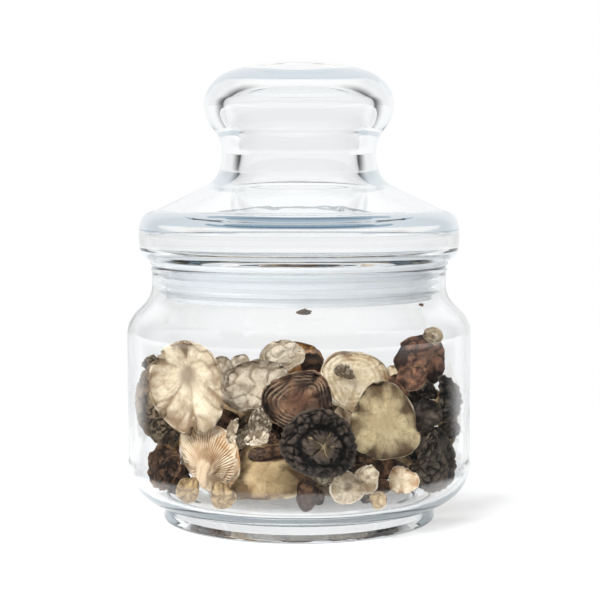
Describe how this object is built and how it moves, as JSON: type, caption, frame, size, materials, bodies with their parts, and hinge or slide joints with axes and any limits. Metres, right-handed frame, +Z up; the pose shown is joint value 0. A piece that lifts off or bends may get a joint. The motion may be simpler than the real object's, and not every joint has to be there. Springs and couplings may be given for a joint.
{
  "type": "herb keeper",
  "caption": "Clear glass storage jar with a wide body on a low foot, a hollow glass lid with a mushroom-shaped knob, a soft clear sealing ring, and loose dried mushrooms inside.",
  "frame": {"origin": "centre of the circle that the foot stands on", "axes": "+Z up along the axis of the jar and the lid; -Y is the front, +X its right"},
  "size_m": [0.0922, 0.0922, 0.1228],
  "materials": {
    "jar": "clear, glossy",
    "lid": "clear, glossy",
    "seal_ring": "clear soft plastic, slightly cloudy",
    "dried_brown_cap": "dry, matt, wrinkled",
    "dried_cream_oyster": "dry, matt, wrinkled",
    "dried_grey_oyster": "dry, matt, wrinkled",
    "dried_olive_cap": "dry, matt, wrinkled",
    "dried_shiitake": "dry, matt, wrinkled",
    "dried_tan_oyster": "dry, matt, wrinkled"
  },
  "bodies": {
    "jar_and_contents": {"jar": "jar", "bit_brown_low": "dried_brown_cap", "bit_cream_low": "dried_cream_oyster", "bit_curled": "dried_grey_oyster", "bit_gilled_low": "dried_cream_oyster", "bit_grey": "dried_grey_oyster", "cap_brown_left": "dried_brown_cap", "cap_curled": "dried_cream_oyster", "cap_dark_right": "dried_shiitake", "cap_layered": "dried_brown_cap", "cap_olive": "dried_olive_cap", "cap_orange_gills": "dried_tan_oyster", "cap_red_right": "dried_brown_cap", "lobe_brown": "dried_brown_cap", "lump_core_1": "dried_grey_oyster", "lump_core_2": "dried_cream_oyster", "oyster_back_1": "dried_cream_oyster", "oyster_back_2": "dried_cream_oyster", "oyster_back_3": "dried_cream_oyster", "oyster_back_4": "dried_cream_oyster", "oyster_core_1": "dried_cream_oyster", "oyster_core_2": "dried_cream_oyster", "oyster_core_3": "dried_cream_oyster", "oyster_cream": "dried_cream_oyster", "oyster_floor_1": "dried_cream_oyster", "oyster_gilled": "dried_cream_oyster", "oyster_grey": "dried_grey_oyster", "oyster_high_right": "dried_cream_oyster", "oyster_low_right": "dried_cream_oyster", "oyster_shell": "dried_tan_oyster", "oyster_top_left": "dried_cream_oyster", "sheet_back_1": "dried_tan_oyster", "sheet_back_2": "dried_tan_oyster", "sheet_core_1": "dried_tan_oyster", "sheet_core_2": "dried_tan_oyster", "sheet_floor": "dried_tan_oyster", "sheet_folded": "dried_tan_oyster", "sheet_top_right": "dried_tan_oyster", "shiitake_back_1": "dried_shiitake", "shiitake_back_2": "dried_shiitake", "shiitake_back_3": "dried_shiitake", "shiitake_back_4": "dried_shiitake", "shiitake_black": "dried_shiitake", "shiitake_core_1": "dried_shiitake", "shiitake_core_2": "dried_shiitake", "shiitake_edge_left": "dried_shiitake", "shiitake_floor_1": "dried_shiitake", "shiitake_low_left": "dried_shiitake", "shiitake_ridged": "dried_shiitake", "shiitake_top_back": "dried_shiitake", "slice_cream": "dried_cream_oyster", "strip_ridged": "dried_brown_cap"},
    "sealing_ring": {"seal_ring": "seal_ring"},
    "glass_lid": {"lid": "lid"}
  },
  "joints": [
    {"name": "lid_lift", "type": "slide", "parent": "jar_and_contents", "child": "sealing_ring", "axis": [0, 0, 1], "range_m": [0, 0.055]},
    {"name": "lid_off_ring", "type": "slide", "parent": "sealing_ring", "child": "glass_lid", "axis": [0, 0, 1], "range_m": [0, 0.016]}
  ]
}
